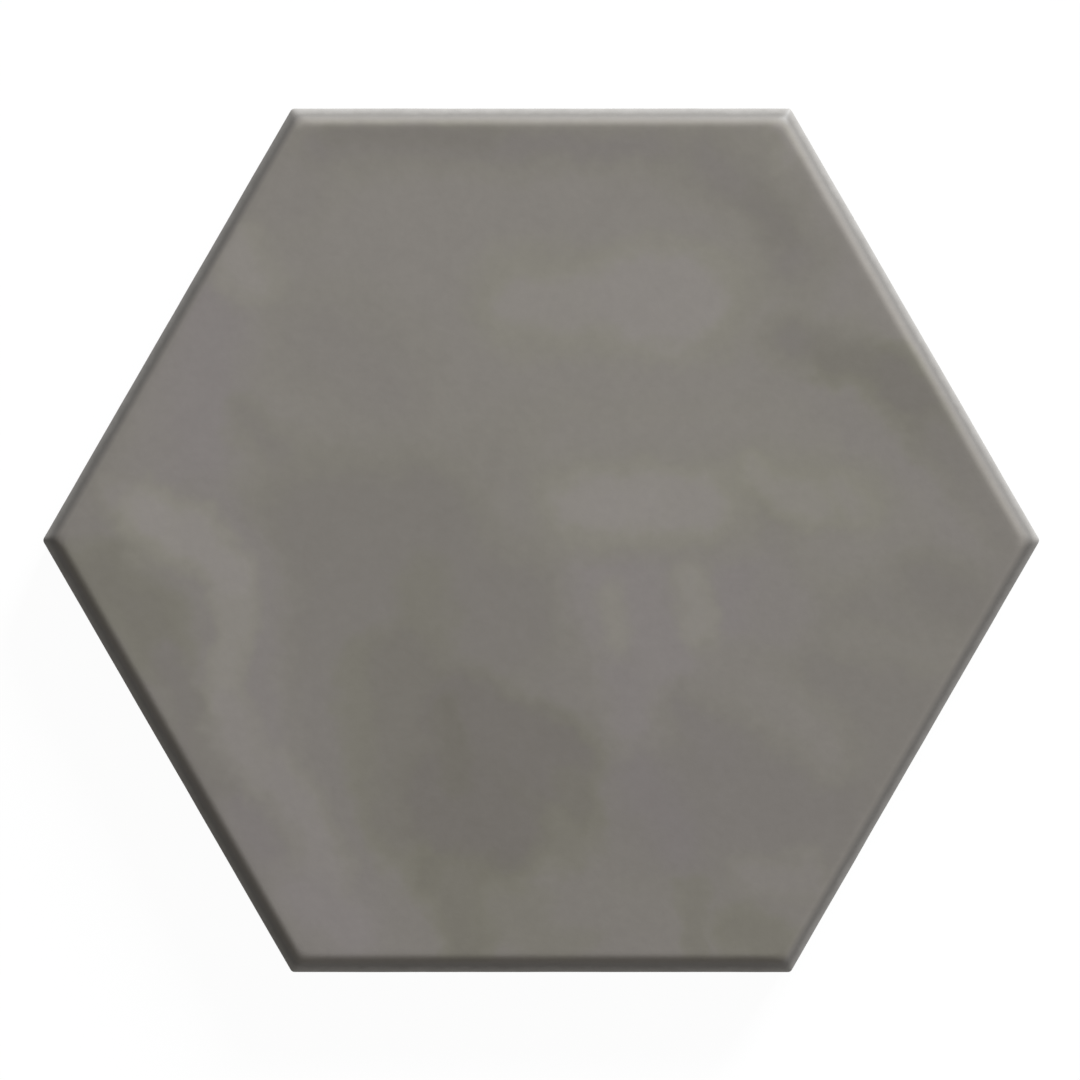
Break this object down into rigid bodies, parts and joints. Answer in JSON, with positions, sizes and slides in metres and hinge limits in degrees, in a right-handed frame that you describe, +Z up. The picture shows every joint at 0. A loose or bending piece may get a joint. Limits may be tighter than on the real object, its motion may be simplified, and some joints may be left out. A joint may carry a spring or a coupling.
{
  "type": "hexagon floor tile",
  "caption": "Regular hexagonal ceramic floor tile with a cloudy grey glaze, a soft bevelled edge and a honeycomb-keyed back.",
  "frame": {"origin": "centre of the back, in the plane of the rib tops that the tile rests on", "axes": "+Z up out of the glazed face, +X towards one of the six corners, +Y square to one of the six edges"},
  "size_m": [0.173, 0.15, 0.009],
  "materials": {
    "glazed_ceramic": "cloudy grey satin glaze on the face and bevels, bare pressed body on the lower sides and the back"
  },
  "bodies": {
    "root": {"hexagon_tile": "glazed_ceramic"}
  },
  "joints": []
}
